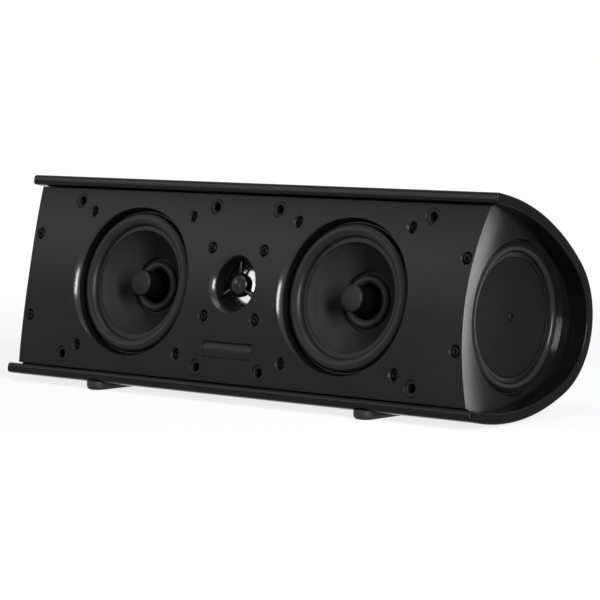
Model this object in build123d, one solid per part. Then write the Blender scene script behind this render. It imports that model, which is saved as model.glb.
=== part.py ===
"""Center channel speaker: a bowed baffle in a bullet-shaped shell, with a passive radiator in each end.

The cabinet is modelled square to its face: X to the right, Y back from the crown of the baffle, Z up along
the face, zero on the woofers' axis. At the end it is leaned back on its wedge feet and set on the floor,
with the origin at the middle of the underside. All sizes are in millimetres and degrees.
"""
import os
from math import atan2, cos, degrees, radians, sin, sqrt

from build123d import *

# Shell
SHELL_WIDTH = 372.0
SHELL_HEIGHT = 130.4
SHELL_WALL = 6.5
LIP_SETBACK = 3.0
ROOF_LENGTH = 9.5
NOSE_DEPTH = 103.2
NOSE_SHARE = 0.7285
RIM_ROUND = 2.2

# Stance
LEAN = 11.0
FOOT_LEAST = 1.2
FOOT_X = 108.0
FOOT_WIDTH = 14.0
FOOT_FRONT = 11.3
FOOT_LENGTH = 78.3
FOOT_ROUND = 2.5

# Baffle
BOW_RADIUS = 250.0
BAFFLE_CROWN = 10.0
BAFFLE_GAP = 0.9
RAIL_WALL = 4.0
RAIL_DEPTH = 9.0
RAIL_END = 7.0
BADGE_LENGTH = 41.0
BADGE_HEIGHT = 10.0
BADGE_CORNER = 1.0
BADGE_RISE = 19.8
BADGE_THICK = 1.2
BADGE_SINK = 0.3

# Screws
SCREW_HEAD_R = 2.9
SCREW_HEAD_HEIGHT = 2.2
SCREW_SHANK_R = 1.6
SCREW_POCKET_R = 4.0
SCREW_CLEAR = 0.2
WOOFER_SCREW_SEAT = 7.6
WOOFER_SCREW_LENGTH = 10.0
TWEETER_SCREW_SEAT = 3.2
TWEETER_SCREW_LENGTH = 13.0
EDGE_SCREW_SEAT = 3.6
EDGE_SCREW_LENGTH = 12.0
EDGE_SCREW_INSET = 1.2
EDGE_SCREW_Z = 26.5

# Grille sockets
SOCKET_INNER_X = 25.3
SOCKET_REACH = 55.8
SOCKET_EDGE = 8.1
SOCKET_SEAT = 6.4
SOCKET_FLANGE_R = 5.0
SOCKET_FLANGE_THICK = 0.8
SOCKET_TUBE_R = 4.0
SOCKET_BORE_R = 2.8
SOCKET_LENGTH = 9.0
SOCKET_FLOOR = 1.0

# End caps and the dish round each radiator
CAP_THICK = 15.0
DISH_DEPTH = 14.0
DISH_SLOPE = 0.25
RADIATOR_FRONT_MARGIN = 1.5
RADIATOR_REAR_MARGIN = 5.7
RADIATOR_SIDE_MARGIN = 12.7
GLUE_GAP = 0.15

# Passive radiators
RADIATOR_FRAME_WIDTH = 4.0
RADIATOR_FRAME_DEPTH = 6.0
RADIATOR_SINK = 5.4
RADIATOR_ROLL_EDGE = 1.65
RADIATOR_ROLL = 6.2
RADIATOR_LIP = 2.4
RADIATOR_SKIN = 0.8
RADIATOR_PISTON_THICK = 2.0
RADIATOR_DIMPLE_R = 1.6
RADIATOR_FIT = 0.2

# Woofers
WOOFER_SHARE = 0.228495
WOOFER_FLARE = 4.0
WOOFER_SCREW_INSET = 6.3
BASKET_MARGIN = 4.65
BASKET_RIM = 4.2
BASKET_CORNER = 12.0
BASKET_FLANGE = 3.0
BASKET_WALL = 2.4
BASKET_WINDOW = 30.0
BASKET_DEPTH = 30.0
BASKET_FLOOR = 2.5
BASKET_FLOOR_R = 34.5
SPIDER_SHELF = 4.6
SPIDER_STEP = 2.5
SPIDER_WAVES = 3
SPIDER_WAVE_HEIGHT = 1.2
SPIDER_SKIN = 0.5
SURROUND_LIP = 3.0
SURROUND_ROLL = 8.6
SURROUND_SKIN = 0.8
SURROUND_SEAT = 2.7
SURROUND_EASE = 0.2
CONE_GLUE = 2.6
CONE_NECK_R = 18.2
CONE_DEPTH = 15.0
CONE_FLARE = 2.6
CONE_SKIN = 0.8
COLLAR_BORE_R = 11.0
COLLAR_THICK = 1.4
COLLAR_RING = 5.2
COLLAR_RISE = 1.8
COIL_R = 12.6
COIL_FORMER = 0.5
COIL_WINDING = 0.5
COIL_LENGTH = 22.5
WINDING_LENGTH = 7.0
MAGNET_GAP = 0.7
POLE_R = 11.8
TOP_PLATE_R = 27.0
TOP_PLATE_THICK = 4.0
MAGNET_R = 32.0
MAGNET_BORE_R = 17.0
MAGNET_THICK = 12.0
BACK_PLATE_R = 30.0
BACK_PLATE_THICK = 5.0
PLUG_R = 8.4
PLUG_REACH = 2.5
PLUG_NOSE = 3.5

# Tweeter
TWEETER_Z = 2.8
TWEETER_SCREW_X = 20.7
TWEETER_SCREW_Z = 21.0
TWEETER_FLARE = 4.9
TWEETER_THROAT_R = 13.6
TWEETER_PLATE_WIDTH = 52.0
TWEETER_PLATE_HEIGHT = 53.0
TWEETER_PLATE_THICK = 3.2
TWEETER_PLATE_CORNER = 6.0
DOME_R = 12.0
DOME_RISE = 2.7
DOME_SKIN = 0.4
DOME_SKIRT = 4.0
DOME_ROLL = 1.3
BULB_R = 7.6
BULB_RISE = 5.4
BULB_CLEAR = 0.7
SPOKE_WIDTH = 1.8
SPOKE_THICK = 2.4
SPOKES = 3
MOTOR_R = 17.0
MOTOR_DEPTH = 16.0
MOTOR_GAP_INNER = 11.2
MOTOR_GAP_DEPTH = 6.0

# Terminal cup and binding posts
TERMINAL_Z = 8.0
CUP_LENGTH = 48.0
CUP_HEIGHT = 30.0
CUP_CORNER = 5.0
CUP_WALL = 2.0
CUP_DEPTH = 22.0
CUP_FLOOR = 2.5
CUP_FLANGE = 5.0
CUP_FLANGE_THICK = 1.6
CUP_CLEAR = 0.2
POST_X = 9.5
POST_R = 3.0
POST_LENGTH = 17.0
POST_TAIL = 3.0
POST_BORE_R = 2.0
POST_BORE_DEPTH = 15.0
POST_COLLAR_R = 5.6
POST_COLLAR_THICK = 2.4
POST_CAP_R = 6.0
POST_CAP_LENGTH = 12.0
POST_CAP_FLUTES = 10
POST_CAP_FLUTE_R = 0.9
POST_NUT_R = 4.6
POST_NUT_THICK = 2.4
POST_CLEAR = 0.06

# Crossover
BOARD_LENGTH = 64.0
BOARD_HEIGHT = 50.0
BOARD_THICK = 1.6
BOARD_PEG = 6.0
BOARD_PEG_R = 2.6
BOARD_PEG_X = 20.0
BOARD_PEG_Z = 13.0
BOARD_SCREW_R = 1.2
BOARD_SCREW_HEAD_R = 2.4
BOARD_SCREW_HEAD = 1.6
CHOKE_X = 20.0
CHOKE_Z = 11.5
CHOKE_R = 11.0
CHOKE_BORE_R = 5.0
CHOKE_HEIGHT = 10.0
CAPACITOR_R = 5.5
CAPACITOR_LENGTH = 26.0
CAPACITOR_X = 15.0
CAPACITOR_Z = 5.5
RESISTOR_LENGTH = 22.0
RESISTOR_WIDTH = 7.0
RESISTOR_Z = 20.0

# Levelling screw
LEVEL_INSET = 11.0
LEVEL_STUD_R = 2.0
LEVEL_STUD_CLEAR = 3.0
LEVEL_TIP_R = 2.8
LEVEL_TIP_CLEAR = 0.8
LEVEL_INSERT_R = 3.5
LEVEL_INSERT_CLEAR = 0.07
LEVEL_INSERT_LENGTH = 19.0
LEVEL_FLANGE_R = 4.8
LEVEL_FLANGE_THICK = 1.0
LEVEL_THREAD_CLEAR = 0.06

# Worked out from the above
ROOF_END = LIP_SETBACK + ROOF_LENGTH
APEX_Y = ROOF_END + NOSE_DEPTH
NOSE_R = NOSE_SHARE * SHELL_HEIGHT / 2
NOSE_Y = APEX_Y - NOSE_R
FLANK_R = ((NOSE_DEPTH - NOSE_R) ** 2 + (SHELL_HEIGHT / 2) ** 2 - NOSE_R**2) / (SHELL_HEIGHT - 2 * NOSE_R)
FLANK_Z = FLANK_R - SHELL_HEIGHT / 2
FACE_HEIGHT = FLANK_R + ROOF_END * sin(radians(LEAN)) - FLANK_Z * cos(radians(LEAN)) + FOOT_LEAST
BAFFLE_HALF_HEIGHT = SHELL_HEIGHT / 2 - SHELL_WALL - BAFFLE_GAP
BADGE_Z = BADGE_RISE - BAFFLE_HALF_HEIGHT
WOOFER_X = WOOFER_SHARE * SHELL_WIDTH
SOCKET_OUTER_X = WOOFER_X + SOCKET_REACH
SOCKET_Z = BAFFLE_HALF_HEIGHT - SOCKET_EDGE
DISH_X = SHELL_WIDTH / 2 - DISH_DEPTH
EDGE_SCREW_X = DISH_X - EDGE_SCREW_INSET
CAP_INNER_X = DISH_X - CAP_THICK
DISH_ROOM = APEX_Y - SHELL_WALL - BAFFLE_CROWN - RADIATOR_FRONT_MARGIN - RADIATOR_REAR_MARGIN
DISH_INNER_R = min(DISH_ROOM / 2, SHELL_HEIGHT / 2 - SHELL_WALL - RADIATOR_SIDE_MARGIN)
RADIATOR_Y = BAFFLE_CROWN + RADIATOR_FRONT_MARGIN + DISH_INNER_R
RADIATOR_FRAME_R = DISH_INNER_R - RADIATOR_FIT - GLUE_GAP
RADIATOR_ROLL_OUTER = RADIATOR_FRAME_R - RADIATOR_ROLL_EDGE
RADIATOR_ROLL_INNER = RADIATOR_ROLL_OUTER - RADIATOR_ROLL
CUP_FLOOR_Y = APEX_Y - CUP_DEPTH
BOARD_BACK_Y = CUP_FLOOR_Y - CUP_FLOOR - BOARD_PEG
BOARD_FRONT_Y = BOARD_BACK_Y - BOARD_THICK
BASKET_SPAN = 2 * (BAFFLE_HALF_HEIGHT - GLUE_GAP - RAIL_WALL - BASKET_MARGIN)
WOOFER_SCREW_OFFSET = BASKET_SPAN / 2 - WOOFER_SCREW_INSET
WOOFER_THROAT_R = BASKET_SPAN / 2 - BASKET_RIM
SURROUND_LIP_R = WOOFER_THROAT_R + SURROUND_SEAT
ROLL_OUTER = SURROUND_LIP_R - SURROUND_LIP
ROLL_INNER = ROLL_OUTER - SURROUND_ROLL
CONE_EDGE_R = ROLL_INNER + SURROUND_SKIN
SHELF_DEPTH = BASKET_DEPTH - BASKET_FLOOR - SPIDER_STEP
FORMER_R = COIL_R + COIL_FORMER
WINDING_R = FORMER_R + COIL_WINDING
LEVEL_Y = APEX_Y - LEVEL_INSET
LEVEL_STUD_TOP = TERMINAL_Z - CUP_HEIGHT / 2 - CUP_WALL - LEVEL_STUD_CLEAR
LEVEL_INSERT_FOOT = -sqrt(NOSE_R**2 - (LEVEL_Y - LEVEL_FLANGE_R - NOSE_Y) ** 2) - LEVEL_INSERT_CLEAR
BOTH_SIDES = {"left": -1, "right": 1}


def bow(z):
    """How far the bowed face lies behind its crown at height z."""
    return BOW_RADIUS - sqrt(BOW_RADIUS**2 - z**2)


def front_frame(x, z, depth):
    """Frame on a front driver's axis, with its z pointing out at the listener."""
    return Plane(origin=(x, depth, z), x_dir=(1, 0, 0), z_dir=(0, -1, 0))


def rear_frame(x, z, depth):
    """Frame on the back of the cabinet, with its z pointing out of the back."""
    return Plane(origin=(x, depth, z), x_dir=(-1, 0, 0), z_dir=(0, 1, 0))


def end_frame(side):
    """Frame on a radiator's axis at the dish's inner edge, with its z pointing out of the end."""
    return Plane(origin=(side * DISH_X, RADIATOR_Y, 0), x_dir=(0, side, 0), z_dir=(side, 0, 0))


def turned(*outline):
    """Solid of revolution about z from corners given as radius and height, or from edges in that plane."""
    if isinstance(outline[0], tuple):
        outline = [Polyline(*outline, close=True)]
    return revolve(Plane.XZ * make_face(outline), Axis.Z)


def drum(radius, low, high):
    """Plain cylinder on the z axis between two heights."""
    return extrude(Plane.XY.offset(low) * Circle(radius), high - low)


def tube(radius, bore, low, high):
    """Cylinder with a through bore on the z axis."""
    return extrude(Plane.XY.offset(low) * (Circle(radius) - Circle(bore)), high - low)


def cap_radius(base, rise):
    """Radius of the sphere whose cap has this base radius and rise."""
    return (base**2 + rise**2) / (2 * rise)


def corners(dx, dy):
    """The four corners of a rectangle about the z axis, given its half sides."""
    return GridLocations(2 * dx, 2 * dy, 2, 2)


def bullet(inset, front, x_from, x_to):
    """Bar along X with the cabinet's bullet section, drawn inside the shell's outer line by inset."""
    half = SHELL_HEIGHT / 2 - inset
    join = degrees(atan2(FLANK_Z, NOSE_Y - ROOF_END))
    above = CenterArc((ROOF_END, -FLANK_Z), FLANK_R - inset, 90, join - 90)
    nose = CenterArc((NOSE_Y, 0), NOSE_R - inset, join, -2 * join)
    below = CenterArc((ROOF_END, FLANK_Z), FLANK_R - inset, -join, join - 90)
    open_front = Polyline((ROOF_END, -half), (front, -half), (front, half), (ROOF_END, half))
    return extrude(Plane.YZ.offset(x_from) * make_face([above, nose, below, open_front]), x_to - x_from)


def cabinet_shell():
    """Bent wall with rounded rims, the terminal cut-out and the levelling screw's hole."""
    half_width = SHELL_WIDTH / 2
    outside = bullet(0, LIP_SETBACK, -half_width, half_width)
    inside = bullet(SHELL_WALL, LIP_SETBACK - SHELL_WALL, -half_width - 1, half_width + 1)
    cup = rear_frame(0, TERMINAL_Z, CUP_FLOOR_Y - CUP_FLOOR)
    cut_out = RectangleRounded(
        CUP_LENGTH + 2 * (CUP_WALL + CUP_CLEAR),
        CUP_HEIGHT + 2 * (CUP_WALL + CUP_CLEAR),
        CUP_CORNER + CUP_WALL + CUP_CLEAR,
    )
    drilled = Pos(0, LEVEL_Y, 0) * drum(LEVEL_INSERT_R + LEVEL_THREAD_CLEAR, -SHELL_HEIGHT / 2, 0)
    wall = outside - inside - extrude(cup * cut_out, 2 * CUP_DEPTH) - drilled
    lips = wall.edges().filter_by(Axis.X).group_by(Axis.Y)[0]
    wall = fillet(lips, RIM_ROUND)
    ends = wall.faces().filter_by(Axis.X).group_by(SortBy.AREA)[-1]
    return fillet(ends.edges(), RIM_ROUND)


def foot(side):
    """Rubber wedge runner, flat on the floor and cut to the shell's underside."""
    plan = SlotOverall(FOOT_LENGTH, FOOT_WIDTH, rotation=90)
    block = extrude(plan, SHELL_HEIGHT / 4)
    block = fillet(block.faces().sort_by(Axis.Z)[0].edges(), FOOT_ROUND)
    to_cabinet = Rot(LEAN, 0, 0) * Pos(side * FOOT_X, FOOT_LENGTH / 2 - FOOT_FRONT, -FACE_HEIGHT)
    return to_cabinet * block - bullet(0, -2 * FOOT_FRONT, -SHELL_WIDTH / 2, SHELL_WIDTH / 2)


def dish(side):
    """Everything outside the shallow cone that opens round a radiator."""
    reach = SHELL_HEIGHT
    rise = DISH_SLOPE * (reach - DISH_INNER_R)
    outline = [(0, 0), (DISH_INNER_R, 0), (reach, rise), (reach, reach), (0, reach)]
    return end_frame(side) * turned(*outline)


def screw_hole(x, z, seat):
    """Pocket for a screw's head with its clearance hole behind."""
    shank = SCREW_SHANK_R + SCREW_CLEAR
    pocket = front_frame(x, z, seat) * drum(SCREW_POCKET_R, 0, SHELL_HEIGHT)
    return pocket + front_frame(x, z, seat) * drum(shank, -SHELL_HEIGHT / 4, 1)


def screw(x, z, seat, length):
    """Pan-head screw under its seat, with a domed head and a pointed end."""
    head = SCREW_HEAD_HEIGHT
    outline = [
        (0, head), (SCREW_HEAD_R * 0.6, head), (SCREW_HEAD_R, head * 0.45), (SCREW_HEAD_R, 0),
        (SCREW_SHANK_R, 0), (SCREW_SHANK_R, SCREW_SHANK_R - length), (0, -length),
    ]
    return front_frame(x, z, seat) * turned(*outline)


def woofer_screw_places():
    """Where the eight woofer screws stand on the face."""
    return [
        (side * WOOFER_X + dx * WOOFER_SCREW_OFFSET, dz * WOOFER_SCREW_OFFSET)
        for side in (-1, 1) for dx in (-1, 1) for dz in (-1, 1)
    ]


def tweeter_screw_places():
    """Where the four tweeter screws stand on the face."""
    return [
        (dx * TWEETER_SCREW_X, TWEETER_Z + dz * TWEETER_SCREW_Z) for dx in (-1, 1) for dz in (-1, 1)
    ]


def edge_screw_places():
    """Where the four screws near the baffle's ends stand on the face."""
    return [(dx * EDGE_SCREW_X, dz * EDGE_SCREW_Z) for dx in (-1, 1) for dz in (-1, 1)]


def socket_places():
    """Where the eight grille sockets stand on the face."""
    return [
        (dx * x, dz * SOCKET_Z) for x in (SOCKET_INNER_X, SOCKET_OUTER_X) for dx in (-1, 1) for dz in (-1, 1)
    ]


def badge_outline():
    """Rounded outline of the badge recess."""
    return RectangleRounded(BADGE_LENGTH, BADGE_HEIGHT, BADGE_CORNER)


def flare(throat, spread):
    """Opening through the baffle that widens by spread from its throat to the crown, and on past it."""
    return turned((0, 0), (throat, 0), (throat + 2 * spread, 2 * BAFFLE_CROWN), (0, 2 * BAFFLE_CROWN))


def baffle():
    """Bowed front panel with its cut-outs, ended by the two dishes, with a stiffening rail along each edge."""
    half = BAFFLE_HALF_HEIGHT
    face = ThreePointArc((bow(half), half), (0, 0), (bow(half), -half))
    back = Polyline((bow(half), -half), (BAFFLE_CROWN, -half), (BAFFLE_CROWN, half), (bow(half), half))
    panel = extrude(Plane.YZ * make_face([face, back]), SHELL_WIDTH / 2, both=True)
    for dz in (-1, 1):
        rail = Box(2 * (CAP_INNER_X - RAIL_END), RAIL_DEPTH, RAIL_WALL)
        panel += Pos(0, BAFFLE_CROWN + RAIL_DEPTH / 2, dz * (half - GLUE_GAP - RAIL_WALL / 2)) * rail
    for side in (-1, 1):
        rebate = drum(SURROUND_LIP_R + SURROUND_EASE, 0, SURROUND_SKIN + SURROUND_EASE)
        opening = flare(WOOFER_THROAT_R, WOOFER_FLARE) + rebate
        panel -= front_frame(side * WOOFER_X, 0, BAFFLE_CROWN) * opening
        panel -= dish(side)
    panel -= front_frame(0, TWEETER_Z, BAFFLE_CROWN) * flare(TWEETER_THROAT_R, TWEETER_FLARE)
    for x, z in woofer_screw_places():
        panel -= screw_hole(x, z, WOOFER_SCREW_SEAT)
    for x, z in tweeter_screw_places():
        panel -= screw_hole(x, z, TWEETER_SCREW_SEAT)
    for x, z in edge_screw_places():
        panel -= screw_hole(x, z, EDGE_SCREW_SEAT)
    for x, z in socket_places():
        seat = front_frame(x, z, SOCKET_SEAT)
        panel -= seat * drum(SOCKET_FLANGE_R + SCREW_CLEAR, 0, BAFFLE_CROWN)
        panel -= seat * drum(SOCKET_TUBE_R, -BAFFLE_CROWN, 1)
    badge = front_frame(0, BADGE_Z, badge_seat())
    return panel - extrude(badge * badge_outline(), BAFFLE_CROWN)


def badge_seat():
    """Depth of the badge recess's flat floor, below the face at the recess's lower edge."""
    return bow(abs(BADGE_Z) + BADGE_HEIGHT / 2) + BADGE_SINK + BADGE_THICK / 2


def badge_plate():
    """Blank plate that fills the badge recess."""
    plate = extrude(offset(badge_outline(), -SCREW_CLEAR), BADGE_THICK)
    plate = chamfer(plate.faces().sort_by(Axis.Z)[-1].edges(), BADGE_SINK)
    return front_frame(0, BADGE_Z, badge_seat()) * plate


def grille_socket(x, z):
    """Blind cup that takes a grille peg."""
    low = -SOCKET_LENGTH
    outline = [
        (0, low), (SOCKET_TUBE_R, low), (SOCKET_TUBE_R, 0), (SOCKET_FLANGE_R, 0),
        (SOCKET_FLANGE_R, SOCKET_FLANGE_THICK), (SOCKET_BORE_R, SOCKET_FLANGE_THICK),
        (SOCKET_BORE_R, low + SOCKET_FLOOR), (0, low + SOCKET_FLOOR),
    ]
    return front_frame(x, z, SOCKET_SEAT) * turned(*outline)


def end_cap(side):
    """Panel that closes one end behind the baffle, dished outside and bored for its radiator."""
    inner, outer = sorted((side * CAP_INNER_X, side * SHELL_WIDTH / 2))
    cap = bullet(SHELL_WALL + GLUE_GAP, BAFFLE_CROWN, inner, outer) - dish(side)
    thickness = DISH_X - CAP_INNER_X
    pocket = drum(RADIATOR_FRAME_R + RADIATOR_FIT, -RADIATOR_SINK - RADIATOR_FRAME_DEPTH, 1)
    port = drum(RADIATOR_FRAME_R - RADIATOR_FRAME_WIDTH, -thickness - 1, 1)
    cap -= end_frame(side) * (pocket + port)
    for x, z in edge_screw_places():
        if x * side > 0:
            cap -= front_frame(x, z, EDGE_SCREW_SEAT) * drum(SCREW_SHANK_R, -EDGE_SCREW_LENGTH - 1, 0)
    return cap


def radiator_frame():
    """Ring that holds the radiator's surround in its pocket."""
    low = -RADIATOR_SINK - RADIATOR_FRAME_DEPTH
    return tube(RADIATOR_FRAME_R, RADIATOR_FRAME_R - RADIATOR_FRAME_WIDTH, low, -RADIATOR_SINK)


def half_roll(outer_lip, outer, inner, inner_lip, base, skin):
    """Thin ring that rises in a half roll between two flat lips."""
    middle = (outer + inner) / 2
    crest = base + (outer - inner) / 2
    over = ThreePointArc((outer, base + skin), (middle, crest + skin), (inner, base + skin))
    under = ThreePointArc((inner + skin, base), (middle, crest), (outer - skin, base))
    inside = Polyline((inner, base + skin), (inner_lip, base + skin), (inner_lip, base), (inner + skin, base))
    outside = Polyline((outer - skin, base), (outer_lip, base), (outer_lip, base + skin), (outer, base + skin))
    return turned(over, inside, under, outside)


def radiator_surround():
    """Half-roll rubber surround of a radiator."""
    return half_roll(
        RADIATOR_FRAME_R - RADIATOR_FIT, RADIATOR_ROLL_OUTER, RADIATOR_ROLL_INNER,
        RADIATOR_ROLL_INNER - RADIATOR_LIP, -RADIATOR_SINK, RADIATOR_SKIN,
    )


def radiator_piston():
    """Flat piston glued under the surround's inner lip, with a small centre dimple."""
    face = RADIATOR_SKIN - RADIATOR_SINK
    edge = RADIATOR_ROLL_INNER
    raised = edge - RADIATOR_LIP - RADIATOR_FIT
    low = -RADIATOR_SINK - RADIATOR_PISTON_THICK
    return turned(
        (0, low), (edge, low), (edge, -RADIATOR_SINK), (raised, -RADIATOR_SINK), (raised, face),
        (RADIATOR_DIMPLE_R, face), (0, face - RADIATOR_DIMPLE_R / 2),
    )


def woofer_basket():
    """Square flange, four-legged bowl and the floor that carries the motor."""
    flange = extrude(RectangleRounded(BASKET_SPAN, BASKET_SPAN, BASKET_CORNER), -BASKET_FLANGE)
    flange -= drum(ROLL_OUTER, -BASKET_FLANGE, 0)
    hole = drum(SCREW_SHANK_R + SCREW_CLEAR, -BASKET_FLANGE, 0)
    flange -= [place * hole for place in corners(WOOFER_SCREW_OFFSET, WOOFER_SCREW_OFFSET)]
    shelf_r = BASKET_FLOOR_R - BASKET_WALL
    bore = WINDING_R + MAGNET_GAP
    floor = -BASKET_DEPTH + BASKET_FLOOR
    bowl = turned(
        (ROLL_OUTER, -BASKET_FLANGE), (ROLL_OUTER + BASKET_WALL, -BASKET_FLANGE),
        (BASKET_FLOOR_R, -SHELF_DEPTH), (BASKET_FLOOR_R, -BASKET_DEPTH), (bore, -BASKET_DEPTH),
        (bore, floor), (shelf_r - SPIDER_SHELF, floor), (shelf_r - SPIDER_SHELF, -SHELF_DEPTH),
        (shelf_r, -SHELF_DEPTH),
    )
    window = Box(
        BASKET_WINDOW, ROLL_OUTER, SHELF_DEPTH - BASKET_FLANGE, align=(Align.CENTER, Align.MIN, Align.MIN)
    )
    for turn in range(4):
        bowl -= Rot(0, 0, 90 * turn) * Pos(0, shelf_r - 1, -SHELF_DEPTH + 1) * window
    return flange + bowl


def woofer_surround():
    """Half-roll rubber surround, its outer lip glued to the basket's flange behind the opening."""
    return half_roll(SURROUND_LIP_R, ROLL_OUTER, ROLL_INNER, ROLL_INNER - CONE_GLUE, 0, SURROUND_SKIN)


def woofer_cone():
    """Flared cone from the surround down to its neck."""
    low = -CONE_SKIN
    neck = low - CONE_DEPTH
    between = ((CONE_EDGE_R - CONE_GLUE + CONE_NECK_R) / 2, (low + neck) / 2 + CONE_FLARE)
    shoulder = CONE_EDGE_R - CONE_GLUE
    under = ThreePointArc((shoulder, low), between, (CONE_NECK_R, neck))
    over = ThreePointArc(
        (CONE_NECK_R, neck + CONE_SKIN), (between[0], between[1] + CONE_SKIN), (shoulder, 0)
    )
    rim = Polyline((shoulder, 0), (CONE_EDGE_R, 0), (CONE_EDGE_R, low), (shoulder, low))
    return turned(under, Line(under @ 1, over @ 0), over, rim)


def collar_top():
    """Height of the collar's upper face under the cone's neck."""
    return -CONE_SKIN - CONE_DEPTH


def woofer_collar():
    """Ring that joins the cone's neck to the voice coil, with a rounded crest round its bore."""
    top = collar_top()
    middle = COLLAR_BORE_R + COLLAR_RING / 2
    crest = ThreePointArc(
        (COLLAR_BORE_R, top), (middle, top + COLLAR_RISE), (COLLAR_BORE_R + COLLAR_RING, top)
    )
    low = top - COLLAR_THICK
    outer = CONE_NECK_R + CONE_SKIN
    body = Polyline(crest @ 1, (outer, top), (outer, low), (COLLAR_BORE_R, low), crest @ 0)
    return turned(crest, body)


def woofer_coil():
    """Voice coil: a thin former with its winding near the lower end."""
    top = collar_top() - COLLAR_THICK
    low = top - COIL_LENGTH
    return turned(
        (COIL_R, low), (WINDING_R, low), (WINDING_R, low + WINDING_LENGTH), (FORMER_R, low + WINDING_LENGTH),
        (FORMER_R, top), (COIL_R, top),
    )


def woofer_spider():
    """Corrugated disc between the voice coil and the basket's shelf."""
    outer = BASKET_FLOOR_R - BASKET_WALL - 2 * GLUE_GAP
    lip = outer - SPIDER_SHELF + GLUE_GAP
    inner = FORMER_R + GLUE_GAP
    base = -SHELF_DEPTH
    steps = 2 * SPIDER_WAVES
    radii = [lip + (inner - lip) * step / steps for step in range(steps + 1)]
    heights = [base + SPIDER_WAVE_HEIGHT * (step % 2) for step in range(steps + 1)]
    under = list(zip(radii, heights))
    over = [(radius, height + SPIDER_SKIN) for radius, height in reversed(under)]
    return turned((outer, base), *under, *over, (outer, base + SPIDER_SKIN))


def woofer_top_plate():
    """Steel ring that closes the magnetic gap under the basket."""
    return tube(TOP_PLATE_R, WINDING_R + MAGNET_GAP, -BASKET_DEPTH - TOP_PLATE_THICK, -BASKET_DEPTH)


def woofer_magnet():
    """Ferrite ring."""
    top = -BASKET_DEPTH - TOP_PLATE_THICK
    return tube(MAGNET_R, MAGNET_BORE_R, top - MAGNET_THICK, top)


def woofer_back_plate():
    """Steel plate behind the magnet with the pole that stands in the coil."""
    top = -BASKET_DEPTH - TOP_PLATE_THICK - MAGNET_THICK
    bevel = BACK_PLATE_THICK / 4
    return turned(
        (0, top - BACK_PLATE_THICK), (BACK_PLATE_R - bevel, top - BACK_PLATE_THICK),
        (BACK_PLATE_R, top - BACK_PLATE_THICK + bevel), (BACK_PLATE_R, top), (POLE_R, top),
        (POLE_R, -BASKET_DEPTH), (0, -BASKET_DEPTH),
    )


def woofer_phase_plug():
    """Bullet-nosed plug fixed on the pole, clear of the collar."""
    shoulder = PLUG_REACH - PLUG_NOSE
    nose = RadiusArc((PLUG_R, shoulder), (0, PLUG_REACH), -cap_radius(PLUG_R, PLUG_NOSE))
    body = Polyline((0, PLUG_REACH), (0, -BASKET_DEPTH), (PLUG_R, -BASKET_DEPTH), (PLUG_R, shoulder))
    return turned(nose, body)


WOOFER_PIECES = {
    "basket": woofer_basket, "surround": woofer_surround, "cone": woofer_cone, "collar": woofer_collar,
    "voice_coil": woofer_coil, "spider": woofer_spider, "top_plate": woofer_top_plate,
    "magnet": woofer_magnet, "back_plate": woofer_back_plate, "phase_plug": woofer_phase_plug,
}
RADIATOR_PIECES = {"frame": radiator_frame, "surround": radiator_surround, "piston": radiator_piston}


def tweeter_frame():
    """Plate behind the baffle that carries the tweeter's motor."""
    plate = RectangleRounded(TWEETER_PLATE_WIDTH, TWEETER_PLATE_HEIGHT, TWEETER_PLATE_CORNER)
    body = extrude(plate, -TWEETER_PLATE_THICK) - drum(TWEETER_THROAT_R, -TWEETER_PLATE_THICK, 0)
    hole = drum(SCREW_SHANK_R + SCREW_CLEAR, -TWEETER_PLATE_THICK, 0)
    return body - [place * hole for place in corners(TWEETER_SCREW_X, TWEETER_SCREW_Z)]


def dome_base():
    """Height of the dome's rim, just above the motor's face."""
    return -TWEETER_PLATE_THICK + DOME_ROLL


def tweeter_dome():
    """Metal dome with the short coil former below its rim."""
    base = dome_base()
    low = base - DOME_SKIRT
    inner = DOME_R - DOME_SKIN
    over = RadiusArc((DOME_R, base), (0, base + DOME_RISE), -cap_radius(DOME_R, DOME_RISE))
    under = RadiusArc((0, base + DOME_RISE - DOME_SKIN), (inner, base), cap_radius(inner, DOME_RISE - DOME_SKIN))
    axis = Line((0, base + DOME_RISE), (0, base + DOME_RISE - DOME_SKIN))
    skirt = Polyline((inner, base), (inner, low), (DOME_R, low), (DOME_R, base))
    return turned(over, axis, under, skirt)


def tweeter_surround():
    """Small soft ring round the dome."""
    base = dome_base() - DOME_ROLL
    return tube(TWEETER_THROAT_R - GLUE_GAP, DOME_R + GLUE_GAP, base, base + DOME_SKIN)


def tweeter_motor():
    """Magnet cup behind the frame, with the ring gap that the coil moves in."""
    top = -TWEETER_PLATE_THICK
    gap_outer = DOME_R + (DOME_R - DOME_SKIN - MOTOR_GAP_INNER)
    low = top - MOTOR_DEPTH
    floor = top - MOTOR_GAP_DEPTH
    return turned(
        (0, low), (MOTOR_R, low), (MOTOR_R, top), (gap_outer, top), (gap_outer, floor),
        (MOTOR_GAP_INNER, floor), (MOTOR_GAP_INNER, top), (0, top),
    )


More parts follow.
